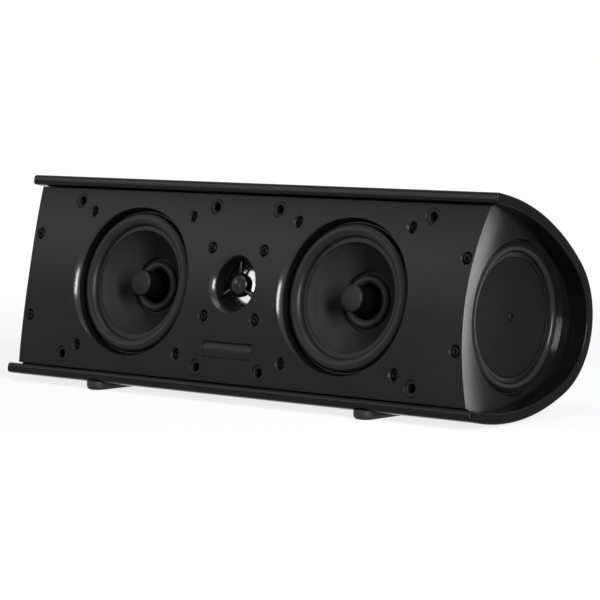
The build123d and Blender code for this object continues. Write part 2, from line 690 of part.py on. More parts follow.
def tweeter_phase_disc():
    """Round-nosed disc before the dome, on three spokes that reach the horn's wall."""
    back = dome_base() + DOME_RISE + BULB_CLEAR
    crown = RadiusArc((BULB_R, back), (0, back + BULB_RISE), -cap_radius(BULB_R, BULB_RISE))
    bulb = turned(crown, Polyline((0, back + BULB_RISE), (0, back), (BULB_R, back)))
    slope = TWEETER_FLARE / BAFFLE_CROWN
    reach = TWEETER_THROAT_R + slope * (back + SPOKE_THICK) + GLUE_GAP
    spoke = Box(reach, SPOKE_WIDTH, SPOKE_THICK, align=(Align.MIN, Align.CENTER, Align.MIN))
    spokes = [Rot(0, 0, 90 + 360 / SPOKES * turn) * Pos(0, 0, back) * spoke for turn in range(SPOKES)]
    return (bulb + spokes) & flare(TWEETER_THROAT_R - GLUE_GAP, TWEETER_FLARE)


TWEETER_PIECES = {
    "frame": tweeter_frame, "dome": tweeter_dome, "surround": tweeter_surround, "motor": tweeter_motor,
    "phase_disc": tweeter_phase_disc,
}


def terminal_cup():
    """Recessed cup let into the back, with a flange bent to the shell and pegs for the crossover board."""
    back = rear_frame(0, TERMINAL_Z, CUP_FLOOR_Y - CUP_FLOOR)
    floor = rear_frame(0, TERMINAL_Z, CUP_FLOOR_Y)
    pocket = RectangleRounded(CUP_LENGTH, CUP_HEIGHT, CUP_CORNER)
    body = extrude(back * offset(pocket, CUP_WALL), 2 * CUP_DEPTH)
    body &= bullet(0, LIP_SETBACK, -SHELL_WIDTH / 2, SHELL_WIDTH / 2)
    skin = bullet(-CUP_FLANGE_THICK, LIP_SETBACK, -CUP_LENGTH, CUP_LENGTH)
    skin -= bullet(0, LIP_SETBACK - 1, -CUP_LENGTH - 1, CUP_LENGTH + 1)
    body += skin & extrude(back * offset(pocket, CUP_WALL + CUP_FLANGE), 2 * CUP_DEPTH)
    body -= extrude(floor * pocket, 2 * CUP_DEPTH)
    peg = tube(BOARD_PEG_R, BOARD_SCREW_R, -BOARD_PEG, 0)
    body += [back * place * peg for place in corners(BOARD_PEG_X, BOARD_PEG_Z)]
    for side in (-1, 1):
        body -= rear_frame(side * POST_X, TERMINAL_Z, CUP_FLOOR_Y) * drum(POST_R + POST_CLEAR, -CUP_FLOOR, 0)
    return body


def binding_post():
    """Brass stud with the socket for a banana plug."""
    tail = -CUP_FLOOR - POST_NUT_THICK - POST_TAIL
    socket = drum(POST_BORE_R, POST_LENGTH - POST_BORE_DEPTH, POST_LENGTH)
    stud = drum(POST_R, tail, POST_LENGTH)
    return chamfer(stud.faces().sort_by(Axis.Z)[-1].edges(), POST_CLEAR * 5) - socket


def post_collar():
    """Insulating collar under the cap."""
    return tube(POST_COLLAR_R, POST_R + POST_CLEAR, 0, POST_COLLAR_THICK)


def post_cap():
    """Fluted cap that clamps a bare wire against the collar."""
    low = POST_COLLAR_THICK
    flutes = PolarLocations(POST_CAP_R + POST_CAP_FLUTE_R / 3, POST_CAP_FLUTES) * Circle(POST_CAP_FLUTE_R)
    section = Circle(POST_CAP_R) - flutes - Circle(POST_R + POST_CLEAR)
    return extrude(Plane.XY.offset(low) * section, POST_CAP_LENGTH)


def post_nut():
    """Nut behind the cup's floor."""
    section = RegularPolygon(POST_NUT_R, 6) - Circle(POST_R + POST_CLEAR)
    return extrude(Plane.XY.offset(-CUP_FLOOR) * section, -POST_NUT_THICK)


def crossover_board():
    """Circuit board on the cup's pegs."""
    board = Rectangle(BOARD_LENGTH, BOARD_HEIGHT)
    board -= [place * Circle(BOARD_SCREW_R) for place in corners(BOARD_PEG_X, BOARD_PEG_Z)]
    return extrude(front_frame(0, TERMINAL_Z, BOARD_BACK_Y) * board, BOARD_THICK)


def board_screws():
    """Four small screws that hold the board to the pegs."""
    outline = [
        (0, BOARD_SCREW_HEAD), (BOARD_SCREW_HEAD_R, BOARD_SCREW_HEAD / 2), (BOARD_SCREW_HEAD_R, 0),
        (BOARD_SCREW_R - POST_CLEAR, 0), (BOARD_SCREW_R - POST_CLEAR, -BOARD_PEG), (0, -BOARD_PEG),
    ]
    base = front_frame(0, TERMINAL_Z, BOARD_FRONT_Y)
    return [base * place * turned(*outline) for place in corners(BOARD_PEG_X, BOARD_PEG_Z)]


def crossover_chokes():
    """Two air-core coils on the board."""
    choke = tube(CHOKE_R, CHOKE_BORE_R, 0, CHOKE_HEIGHT)
    base = front_frame(0, TERMINAL_Z, BOARD_FRONT_Y)
    return [base * Pos(side * CHOKE_X, -CHOKE_Z, 0) * choke for side in (-1, 1)]


def crossover_capacitors():
    """Two film capacitors lying end to end on the board."""
    can = Rot(0, 90, 0) * drum(CAPACITOR_R, -CAPACITOR_LENGTH / 2, CAPACITOR_LENGTH / 2)
    base = front_frame(0, TERMINAL_Z, BOARD_FRONT_Y)
    return [base * Pos(side * CAPACITOR_X, CAPACITOR_Z, CAPACITOR_R) * can for side in (-1, 1)]


def crossover_resistor():
    """Ceramic resistor on the board."""
    block = Box(RESISTOR_LENGTH, RESISTOR_WIDTH, RESISTOR_WIDTH, align=(Align.CENTER, Align.CENTER, Align.MIN))
    return front_frame(0, TERMINAL_Z, BOARD_FRONT_Y) * Pos(0, RESISTOR_Z, 0) * block


def floor_under(y):
    """Height of the floor below the cabinet at depth y, in the cabinet's own frame."""
    return (y * sin(radians(LEAN)) - FACE_HEIGHT) / cos(radians(LEAN))


def level_tip_z():
    """Height of the middle of the levelling screw's ball tip."""
    return floor_under(LEVEL_Y) + (LEVEL_TIP_R + LEVEL_TIP_CLEAR) / cos(radians(LEAN))


def levelling_insert():
    """Threaded insert through the shell's wall, with a flange at its lower end."""
    thread = LEVEL_STUD_R + LEVEL_THREAD_CLEAR
    sleeve = tube(LEVEL_INSERT_R, thread, 0, LEVEL_INSERT_LENGTH)
    flange = tube(LEVEL_FLANGE_R, thread, -LEVEL_FLANGE_THICK, 0)
    return Pos(0, LEVEL_Y, LEVEL_INSERT_FOOT) * (sleeve + flange)


def levelling_stud():
    """Steel stud that winds out of the insert."""
    return Pos(0, LEVEL_Y, 0) * drum(LEVEL_STUD_R, level_tip_z() + LEVEL_TIP_R, LEVEL_STUD_TOP)


def levelling_tip():
    """Rubber ball tip on the stud's lower end."""
    flat = LEVEL_TIP_R - sqrt(LEVEL_TIP_R**2 - LEVEL_STUD_R**2)
    ball = Sphere(LEVEL_TIP_R) + drum(LEVEL_STUD_R, LEVEL_TIP_R - flat, LEVEL_TIP_R)
    return Pos(0, LEVEL_Y, level_tip_z()) * ball


def all_pieces():
    """Every node by name, each a solid or a list of like solids, in the cabinet's own frame."""
    pieces = {
        "cabinet_shell": cabinet_shell(), "baffle": baffle(), "badge_plate": badge_plate(),
        "grille_sockets": [grille_socket(x, z) for x, z in socket_places()],
        "woofer_screws": [screw(x, z, WOOFER_SCREW_SEAT, WOOFER_SCREW_LENGTH) for x, z in woofer_screw_places()],
        "tweeter_screws": [
            screw(x, z, TWEETER_SCREW_SEAT, TWEETER_SCREW_LENGTH) for x, z in tweeter_screw_places()
        ],
        "edge_screws": [screw(x, z, EDGE_SCREW_SEAT, EDGE_SCREW_LENGTH) for x, z in edge_screw_places()],
    }
    for name, side in BOTH_SIDES.items():
        pieces[f"end_cap_{name}"] = end_cap(side)
        pieces[f"foot_{name}"] = foot(side)
        for piece, make in WOOFER_PIECES.items():
            pieces[f"woofer_{piece}_{name}"] = front_frame(side * WOOFER_X, 0, BAFFLE_CROWN) * make()
        for piece, make in RADIATOR_PIECES.items():
            pieces[f"radiator_{piece}_{name}"] = end_frame(side) * make()
    for piece, make in TWEETER_PIECES.items():
        pieces[f"tweeter_{piece}"] = front_frame(0, TWEETER_Z, BAFFLE_CROWN) * make()
    posts = [rear_frame(side * POST_X, TERMINAL_Z, CUP_FLOOR_Y) for side in (-1, 1)]
    pieces |= {
        "terminal_cup": terminal_cup(),
        "binding_posts": [post * binding_post() for post in posts],
        "post_collars": [post * post_collar() for post in posts],
        "post_nuts": [post * post_nut() for post in posts],
        "post_cap_black": posts[0] * post_cap(), "post_cap_red": posts[1] * post_cap(),
        "crossover_board": crossover_board(), "crossover_chokes": crossover_chokes(),
        "crossover_capacitors": crossover_capacitors(), "crossover_resistor": crossover_resistor(),
        "board_screws": board_screws(),
        "levelling_insert": levelling_insert(), "levelling_stud": levelling_stud(),
        "levelling_tip": levelling_tip(),
    }
    return pieces


def node_shape(piece):
    """One shape for a node, from a solid or from a list of like solids."""
    solids = [solid for item in (piece if isinstance(piece, list) else [piece]) for solid in item.solids()]
    return solids[0] if len(solids) == 1 else Compound(solids)


shapes = {name: Rot(-LEAN, 0, 0) * node_shape(piece) for name, piece in all_pieces().items()}
whole = Compound(list(shapes.values())).bounding_box()
stand = Pos(-whole.center().X, -whole.center().Y, -whole.min.Z)
print("baffle crown stands at", (stand * Pos(0, 0, 0)).position)

os.makedirs("parts", exist_ok=True)
for name, shape in shapes.items():
    export_step(stand * shape, f"parts/{name}.step")
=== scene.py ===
"""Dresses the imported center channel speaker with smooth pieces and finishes, and sets its white stage.

Outlines of turned pieces are in millimetres in a driver's own frame, where z points out of the cabinet.
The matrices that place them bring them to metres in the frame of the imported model.
"""
from collections import namedtuple
from math import atan2, cos, degrees, pi, radians, sin, sqrt, tau

import bmesh
import bpy
from bpy.props import FloatProperty, FloatVectorProperty, PointerProperty
from bpy.types import Operator, Panel, PropertyGroup
from mathutils import Matrix, Vector


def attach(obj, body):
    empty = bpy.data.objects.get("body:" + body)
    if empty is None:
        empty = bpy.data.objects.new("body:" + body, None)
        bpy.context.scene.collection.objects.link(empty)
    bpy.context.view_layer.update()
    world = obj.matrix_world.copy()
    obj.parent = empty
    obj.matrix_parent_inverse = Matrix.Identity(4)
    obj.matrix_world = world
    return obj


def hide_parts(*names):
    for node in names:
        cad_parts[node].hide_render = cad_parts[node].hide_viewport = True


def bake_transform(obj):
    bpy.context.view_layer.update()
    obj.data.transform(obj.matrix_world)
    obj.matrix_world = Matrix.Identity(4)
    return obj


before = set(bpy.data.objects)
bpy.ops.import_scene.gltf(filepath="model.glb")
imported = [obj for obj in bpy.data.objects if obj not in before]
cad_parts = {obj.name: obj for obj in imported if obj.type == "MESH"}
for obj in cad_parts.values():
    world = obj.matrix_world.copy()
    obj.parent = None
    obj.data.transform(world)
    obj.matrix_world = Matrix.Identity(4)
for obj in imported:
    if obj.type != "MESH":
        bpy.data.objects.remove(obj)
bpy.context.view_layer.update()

bl_info = {
    "name": "Center channel speaker",
    "version": (1, 0, 0),
    "blender": (4, 5, 0),
    "location": "View3D > Sidebar > Speaker",
    "description": "Dresses the packed center channel speaker and sets its stage",
    "category": "Object",
}

SIDES = {"left": -1, "right": 1}
MM = 0.001
# Edges sharper than the first angle stay crisp, and rims sharper than the second are rounded
SMOOTH_ANGLE = radians(32)
RIM_ANGLE = radians(60)
# A face lies on a known surface when it is this near to it and its normal agrees this well
ON_SURFACE = 0.0002
SAME_WAY = 0.8
# Half width and heights of the terminal opening in the shell's back, in the cabinet's frame
CUP_OPENING_X = 0.0262
CUP_OPENING_Z = (-0.0092, 0.0252)
# Throat radius and spread of the openings before the woofers and the tweeter
WOOFER_FLARE = (0.0448, 0.004)
TWEETER_FLARE = (0.0136, 0.0049)
# Depths in the cabinet where a flare's polished lip ends and its painted throat shade begins, and where a plug's
# tip ends behind the baffle's back and its painted stem shade begins
LIP_DEPTH = 0.0042
TIP_BEHIND = 0.0006
# Size of the uneven patches in a finish
BROAD_SCALE = 38.0


def length(name, description, default):
    """A length in metres that a user may change."""
    return FloatProperty(name=name, description=description, default=default, unit="LENGTH", precision=5)


def colour(name, description, default):
    """A surface colour that a user may change."""
    return FloatVectorProperty(
        name=name, description=description, default=default, subtype="COLOR", size=3, min=0, max=1
    )


class SpeakerSizes(PropertyGroup):
    """Where the cabinet stands and where its drivers sit in its face."""

    lean: FloatProperty(
        name="Lean", description="How far the face leans back", default=radians(11), unit="ROTATION"
    )
    crown_y: length("Crown depth", "Place of the baffle's crown along Y", -0.0523735)
    crown_z: length("Crown height", "Height of the baffle's crown above the floor", 0.0702326)
    baffle_depth: length("Baffle depth", "From the crown to the baffle's back", 0.010)
    woofer_x: length("Woofer offset", "From the middle to a woofer's axis", 0.085)
    tweeter_z: length("Tweeter rise", "Tweeter axis above the woofers' axis", 0.0028)
    radiator_x: length("Radiator offset", "From the middle to a radiator's frame", 0.172)
    radiator_y: length("Radiator depth", "Radiator axis behind the crown", 0.0575)
    shell_width: length("Shell width", "Width over the shell's ends", 0.372)
    shell_height: length("Shell height", "Height of the shell's section", 0.1304)
    shell_wall: length("Shell wall", "Thickness of the shell", 0.0065)
    shell_depth: length("Shell depth", "From the crown to the shell's back", 0.1157)
    lip_setback: length("Lip setback", "From the crown back to the shell's lips", 0.003)
    roof_end: length("Roof end", "From the crown to where the shell starts to bend", 0.0125)
    nose_r: length("Nose radius", "Radius of the shell's back", 0.0474982)
    rim_round: length("Rim round", "Rounding of the shell's front lips", 0.0022)
    end_round: length("End round", "Rounding of the shell's end rims", 0.001)
    bow_radius: length("Bow radius", "Radius of the baffle's bowed face", 0.250)
    dish_r: length("Dish radius", "Radius of the dish's flat floor", 0.046)
    dish_slope: FloatProperty(
        name="Dish slope", description="Rise of the dish over its run", default=0.25, min=0
    )


class SpeakerFinishes(PropertyGroup):
    """Colours of the finishes."""

    shell: colour("Shell", "Satin black of the shell", (0.0045, 0.0045, 0.0047))
    baffle: colour("Baffle", "Grained black of the baffle", (0.0100, 0.0100, 0.0102))
    end_cap: colour("End caps", "Smooth black of the dished ends", (0.004, 0.004, 0.0042))
    rubber: colour("Rubber", "Black of the surrounds and feet", (0.0075, 0.0075, 0.0075))
    cone: colour("Cones", "Moulded black of the cones", (0.021, 0.021, 0.0213))
    collar: colour("Collars", "Grey of the rings at the cones' necks", (0.024, 0.024, 0.0246))
    plug: colour("Plugs", "Grey-black of the phase plugs and disc", (0.020, 0.020, 0.0205))
    piston: colour("Pistons", "Black of the radiators' pistons", (0.0055, 0.0055, 0.0056))
    dome: colour("Dome", "Bright metal of the tweeter's dome", (0.82, 0.82, 0.83))
    screw: colour("Screws", "Black oxide of the screws", (0.010, 0.010, 0.0104))
    socket: colour("Sockets", "Black of the grille sockets", (0.004, 0.004, 0.004))
    terminal: colour("Terminal cup", "Black of the cup and collars", (0.014, 0.014, 0.014))
    cap_red: colour("Red cap", "Red binding-post cap", (0.42, 0.012, 0.012))
    cap_black: colour("Black cap", "Black binding-post cap", (0.012, 0.012, 0.012))
    brass: colour("Brass", "Gold-plated posts", (0.80, 0.58, 0.24))
    steel: colour("Steel", "Zinc-plated steel", (0.55, 0.55, 0.56))


class SpeakerStage(PropertyGroup):
    """Camera, lamps and background."""

    camera_place: FloatVectorProperty(
        name="Camera place", description="Where the camera stands", size=3, subtype="TRANSLATION",
        unit="LENGTH", default=(1.02078, -1.21257, 0.18608),
    )
    camera_turn: FloatVectorProperty(
        name="Camera turn", description="How the camera is turned", size=3, subtype="EULER",
        default=(radians(85.449), radians(-0.530), radians(39.837)),
    )
    lens: FloatProperty(name="Lens", description="Focal length of the camera", default=153.45, unit="CAMERA")
    ambient: FloatProperty(name="Ambient", description="Strength of the room's light", default=0.05, min=0)


CLASSES = [SpeakerSizes, SpeakerFinishes, SpeakerStage]


def sizes():
    """The sizes as the user has set them."""
    return bpy.context.scene.speaker_sizes


def finishes():
    """The colours as the user has set them."""
    return bpy.context.scene.speaker_finishes


# Places

def stand():
    """Matrix from the cabinet's own frame to the leaned-back part on the floor, in metres."""
    s = sizes()
    return Matrix.Translation((0, s.crown_y, s.crown_z)) @ Matrix.Rotation(-s.lean, 4, "X")


def facing(x, y, z, columns):
    """Matrix to a place on the cabinet, with its local millimetre axes along the given columns."""
    turn = Matrix(columns).transposed().to_4x4()
    return stand() @ Matrix.Translation((x, y, z)) @ turn @ Matrix.Scale(MM, 4)


def front_place(x, z, y=None):
    """Matrix to a front driver's axis, its z pointing out at the listener."""
    depth = sizes().baffle_depth if y is None else y
    return facing(x, depth, z, ((1, 0, 0), (0, 0, 1), (0, -1, 0)))


def end_place(side):
    """Matrix to a radiator's axis, its z pointing out of that end."""
    s = sizes()
    return facing(side * s.radiator_x, s.radiator_y, 0, ((0, side, 0), (0, 0, 1), (side, 0, 0)))


# Shapes

def swell(start, end, rise, steps):
    """Points of a shallow curve from start to end, bulging by rise to the left of the way."""
    across = Vector((start[1] - end[1], end[0] - start[0])).normalized()
    points = []
    for step in range(steps + 1):
        t = step / steps
        bulge = 4 * rise * t * (1 - t)
        points.append((
            start[0] + (end[0] - start[0]) * t + across.x * bulge,
            start[1] + (end[1] - start[1]) * t + across.y * bulge,
        ))
    return points


def half_circle(outer, inner, base, steps):
    """Points of a half circle that rises from the outer radius to the inner one."""
    middle = (outer + inner) / 2
    reach = (outer - inner) / 2
    turns = [pi * step / steps for step in range(steps + 1)]
    return [(middle + reach * cos(a), base + reach * sin(a)) for a in turns]


def turned(outline, steps=160, angle=tau, first=0.0):
    """A bmesh turned about z from a closed outline of radius and height."""
    bm = bmesh.new()
    at_start = Matrix.Rotation(first, 3, "Z")
    verts = [bm.verts.new(at_start @ Vector((radius, 0, height))) for radius, height in outline]
    edges = [bm.edges.new(pair) for pair in zip(verts, verts[1:] + verts[:1])]
    bmesh.ops.spin(
        bm, geom=verts + edges, cent=(0, 0, 0), axis=(0, 0, 1), angle=angle, steps=steps,
        use_merge=angle == tau,
    )
    if angle != tau:
        bmesh.ops.holes_fill(bm, edges=bm.edges)
    return closed(bm)


def closed(bm):
    """The same bmesh with its doubles merged and its faces pointing outwards."""
    bmesh.ops.remove_doubles(bm, verts=bm.verts, dist=1e-5)
    bmesh.ops.dissolve_degenerate(bm, edges=bm.edges, dist=1e-6)
    bmesh.ops.recalc_face_normals(bm, faces=bm.faces)
    return bm


def copied(node):
    """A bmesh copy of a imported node, in metres, with its loose triangles merged."""
    bm = bmesh.new()
    bm.from_mesh(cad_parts[node].data)
    bmesh.ops.remove_doubles(bm, verts=bm.verts, dist=1e-6)
    return bm


def sharp_edges(bm, least):
    """The edges where two faces meet at more than the least angle."""
    return [e for e in bm.edges if len(e.link_faces) == 2 and e.calc_face_angle() > least]


def bevelled(bm, edges, offset, segments):
    """Rounds some edges of a bmesh."""
    bmesh.ops.bevel(
        bm, geom=edges, offset=offset, offset_type="OFFSET", segments=segments, profile=0.5, affect="EDGES",
        material=-1, clamp_overlap=True,
    )


def bow_surface(point):
    """How far a point of the cabinet lies from the baffle's bowed face, and the face's normal there."""
    radius = sizes().bow_radius
    inward = sqrt(radius**2 - point.z**2)
    return point.y - radius + inward, Vector((0, -inward, point.z)) / radius


def dish_surface(point):
    """How far a point of the cabinet lies from the nearer end's dish, and the dish's normal there."""
    s = sizes()
    side = 1 if point.x > 0 else -1
    out = Vector((0, point.y - s.radiator_y, point.z))
    gap = side * point.x - s.radiator_x - s.dish_slope * (out.length - s.dish_r)
    return gap, (Vector((side, 0, 0)) - s.dish_slope * out.normalized()).normalized()


def flare_surface(x, z, throat, spread):
    """The rounded flare of a front opening, as a test like those of the bow and the dish."""
    depth = sizes().baffle_depth
    bend = 2 * atan2(spread, depth)

    def surface(point):
        out = Vector((point.x - x, 0, point.z - z))
        rise = 1 - point.y / depth
        inward = -out.normalized() * cos(bend * rise)
        return out.length - throat - spread * rise, inward + Vector((0, -sin(bend * rise), 0))

    return surface


def true_normals(mesh, surfaces):
    """Gives the faces that lie on known curved surfaces those normals, so that long triangles don't show.

    Each surface comes with the number of its finish, which its faces get too.
    """
    mesh.set_sharp_from_angle(angle=SMOOTH_ANGLE)
    turn = stand().to_3x3()
    to_cabinet = stand().inverted()
    points = [to_cabinet @ v.co for v in mesh.vertices]
    normals = [corner.vector.copy() for corner in mesh.corner_normals]
    for polygon in mesh.polygons:
        facing_way = turn.transposed() @ polygon.normal
        for surface, finish_number in surfaces:
            found = [surface(points[v]) for v in polygon.vertices]
            if all(abs(gap) < ON_SURFACE and facing_way.dot(normal) > SAME_WAY for gap, normal in found):
                polygon.material_index = finish_number
                for loop, (gap, normal) in zip(polygon.loop_indices, found):
                    normals[loop] = turn @ normal
    mesh.normals_split_custom_set(normals)


def piece(bm, name, material, body, nodes=(), place=None):
    """A smooth-shaded piece from a bmesh, set in place, riding on its body and standing for its nodes."""
    if place is not None:
        bmesh.ops.transform(bm, matrix=place, verts=bm.verts)
        if place.determinant() < 0:
            bmesh.ops.reverse_faces(bm, faces=bm.faces)
    mesh = bpy.data.meshes.new(name)
    bm.to_mesh(mesh)
    bm.free()
    mesh.shade_smooth()
    mesh.set_sharp_from_angle(angle=SMOOTH_ANGLE)
    mesh.materials.append(material)
    obj = bpy.data.objects.new(name, mesh)
    bpy.context.scene.collection.objects.link(obj)
    if body:
        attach(obj, body)
    if nodes:
        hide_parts(*nodes)
    return obj


def joined(meshes):
    """One bmesh from several."""
    whole = bmesh.new()
    for bm in meshes:
        part = bpy.data.meshes.new("part")
        bm.to_mesh(part)
        bm.free()
        whole.from_mesh(part)
        bpy.data.meshes.remove(part)
    return whole


def at(bm, matrix):
    """The same bmesh moved by a matrix."""
    bmesh.ops.transform(bm, matrix=matrix, verts=bm.verts)
    return bm


# Finishes

class Wire:
    """A socket of a material's node tree, so that shader maths reads as plain expressions."""

    def __init__(self, tree, socket=None):
        self.tree = tree
        self.socket = socket

    def add(self, kind, inputs=(), output=0, stops=(), **settings):
        """Adds a node of any kind, with its settings, its ramp's stops, and its inputs by name or number."""
        node = self.tree.nodes.new(kind)
        for name, value in settings.items():
            setattr(node, name, value)
        for index, (position, shade) in enumerate(stops):
            points = node.color_ramp.elements
            point = points[index] if index < 2 else points.new(position)
            point.position = position
            point.color = (*shade, 1.0)
        for name, value in dict(inputs).items():
            if isinstance(value, Wire):
                self.tree.links.new(value.socket, node.inputs[name])
            else:
                node.inputs[name].default_value = value
        return Wire(self.tree, node.outputs[output])

    def maths(self, operation, first, second):
        """A Math node on two values."""
        return self.add("ShaderNodeMath", {0: first, 1: second}, operation=operation)

    def __add__(self, other):
        return self.maths("ADD", self, other)

    def __mul__(self, other):
        return self.maths("MULTIPLY", self, other)

    def __sub__(self, other):
        return self.maths("SUBTRACT", self, other)

    def __rsub__(self, other):
        return self.maths("SUBTRACT", other, self)

    def __gt__(self, other):
        return self.maths("GREATER_THAN", self, other)

    __radd__ = __add__
    __rmul__ = __mul__


def blank_material(name):
    """A material with its Principled shader, and a wire to add nodes with."""
    old = bpy.data.materials.get(name)
    if old:
        bpy.data.materials.remove(old)
    material = bpy.data.materials.new(name)
    material.use_nodes = True
    shader = material.node_tree.nodes["Principled BSDF"]
    return material, shader, Wire(material.node_tree)


def noise(wire, where, scale, detail=3.0, roughness=0.5):
    """Noise between 0 and 1 over the surface."""
    return wire.add(
        "ShaderNodeTexNoise", {"Vector": where, "Scale": scale, "Detail": detail, "Roughness": roughness}
    )


def stripes(wire, where, scale, direction):
    """Even bands across one axis, between 0 and 1."""
    return wire.add(
        "ShaderNodeTexWave", {"Vector": where, "Scale": scale}, output="Fac", bands_direction=direction
    )


def blended(wire, mask, where_zero, where_one):
    """One colour where a mask is zero and another where it is one."""
    return wire.add("ShaderNodeMix", {0: mask, 6: where_zero, 7: where_one}, output=2, data_type="RGBA")


def tinted(wire, base, spread, mask):
    """The base colour made a little darker and lighter by a mask."""
    dark = tuple(max(c * (1 - spread), 0) for c in base)
    light = tuple(min(c * (1 + spread), 1) for c in base)
    return wire.add("ShaderNodeValToRGB", {"Fac": mask}, stops=((0.3, dark), (0.7, light)))


def moulding(name, base, roughness, grain, grain_scale, specular, coat=0.0, uneven=0.1):
    """Moulded plastic or rubber: faint uneven tone, uneven gloss and a fine grain."""
    material, shader, wire = blank_material(name)
    where = wire.add("ShaderNodeTexCoord", output="Object")
    broad = noise(wire, where, BROAD_SCALE)
    fine = noise(wire, where, grain_scale, 2.0, 0.6)
    links = material.node_tree.links
    links.new(tinted(wire, base, 0.12, broad).socket, shader.inputs["Base Color"])
    links.new((roughness - uneven / 2 + broad * uneven).socket, shader.inputs["Roughness"])
    bump = wire.add("ShaderNodeBump", {"Height": fine, "Strength": grain, "Distance": 0.0002})
    links.new(bump.socket, shader.inputs["Normal"])
    shader.inputs["Specular IOR Level"].default_value = specular
    shader.inputs["Coat Weight"].default_value = coat
    shader.inputs["Coat Roughness"].default_value = 0.15
    return material


def metal(name, base, roughness, stretch=(900.0, 900.0, 40.0), spread=0.10):
    """Plated or bare metal with fine drawn lines in its gloss."""
    material, shader, wire = blank_material(name)
    where = wire.add("ShaderNodeTexCoord", output="Object")
    drawn = wire.add("ShaderNodeMapping", {"Vector": where, "Scale": stretch})
    lines = noise(wire, drawn, 1.0, 2.0)
    links = material.node_tree.links
    links.new(tinted(wire, base, spread, lines).socket, shader.inputs["Base Color"])
    links.new((roughness - 0.06 + lines * 0.12).socket, shader.inputs["Roughness"])
    shader.inputs["Metallic"].default_value = 1.0
    return material


def woven(name, base, pitch):
    """Resin-dipped cloth with a plain weave."""
    material, shader, wire = blank_material(name)
    where = wire.add("ShaderNodeTexCoord", output="Object")
    cloth = stripes(wire, where, pitch, "X") * stripes(wire, where, pitch, "Z")
    links = material.node_tree.links
    links.new(tinted(wire, base, 0.35, cloth).socket, shader.inputs["Base Color"])
    bump = wire.add("ShaderNodeBump", {"Height": cloth, "Strength": 0.4, "Distance": 0.0003})
    links.new(bump.socket, shader.inputs["Normal"])
    shader.inputs["Roughness"].default_value = 0.85
    return material


def wound(name, base, pitch):
    """Enamelled copper wire wound in even turns."""
    material, shader, wire = blank_material(name)
    where = wire.add("ShaderNodeTexCoord", output="Object")
    turns = stripes(wire, where, pitch, "Y")
    links = material.node_tree.links
    links.new(tinted(wire, base, 0.3, turns).socket, shader.inputs["Base Color"])
    bump = wire.add("ShaderNodeBump", {"Height": turns, "Strength": 0.5, "Distance": 0.0004})
    links.new(bump.socket, shader.inputs["Normal"])
    shader.inputs["Metallic"].default_value = 0.8
    shader.inputs["Roughness"].default_value = 0.32
    return material


def circuit(name, base, track):
    """Solder-masked board with paler copper tracks under the mask."""
    material, shader, wire = blank_material(name)
    where = wire.add("ShaderNodeTexCoord", output="Object")
    cells = wire.add("ShaderNodeTexVoronoi", {"Vector": where, "Scale": 160.0}, feature="DISTANCE_TO_EDGE")
    links = material.node_tree.links
    links.new(blended(wire, cells > 0.12, (*track, 1), (*base, 1)).socket, shader.inputs["Base Color"])
    shader.inputs["Roughness"].default_value = 0.38
    return material


def beyond(wire, where, depth):
    """One in front of a plane across the cabinet's depth, on the listener's side, and zero behind it."""
    axis = stand().to_3x3() @ Vector((0, -1, 0))
    along = wire.add("ShaderNodeVectorMath", {0: where, 1: axis}, output="Value", operation="DOT_PRODUCT")
    return along > axis.dot(stand() @ Vector((0, depth, 0)))


def painted_shade_behind(name, depth, front, back, roughness, smoother):
    """A finish with painted shade behind a depth of the cabinet, with its shader and the mask of its smoother,
    unshaded front.
    """
    material, shader, wire = blank_material(name)
    where = wire.add("ShaderNodeTexCoord", output="Object")
    in_front = beyond(wire, where, depth)
    broad = noise(wire, where, BROAD_SCALE)
    links = material.node_tree.links
    # Behind the depth the back colour is painted shade; in front it is the finish's own tone
    colours = blended(wire, in_front, (*back, 1), tinted(wire, front, 0.12, broad))
    links.new(colours.socket, shader.inputs["Base Color"])
    links.new((roughness - in_front * smoother + broad * 0.06).socket, shader.inputs["Roughness"])
    shader.inputs["Specular IOR Level"].default_value = 0.04
    return material, shader, in_front


def plug_with_painted_stem_shade(name, tip, stem):
    """Satin plug, its grey on the tip and its stem painted near-black as shade inside the cone's neck: the
    finish changes along the woofer's axis, just below the nose.
    """
    return painted_shade_behind(name, sizes().baffle_depth + TIP_BEHIND, tip, stem, 0.62, 0.28)[0]


def lip_with_painted_throat_shade(name, lip, throat):
    """Flared opening: a polished lip in front and, behind it, a throat painted near-black as the shade deep in
    the opening.
    """
    material, shader, on_lip = painted_shade_behind(name, LIP_DEPTH, lip, throat, 0.60, 0.30)
    material.node_tree.links.new((on_lip * 0.52).socket, shader.inputs["Coat Weight"])
    shader.inputs["Coat Roughness"].default_value = 0.19
    return material


MATERIALS = {}


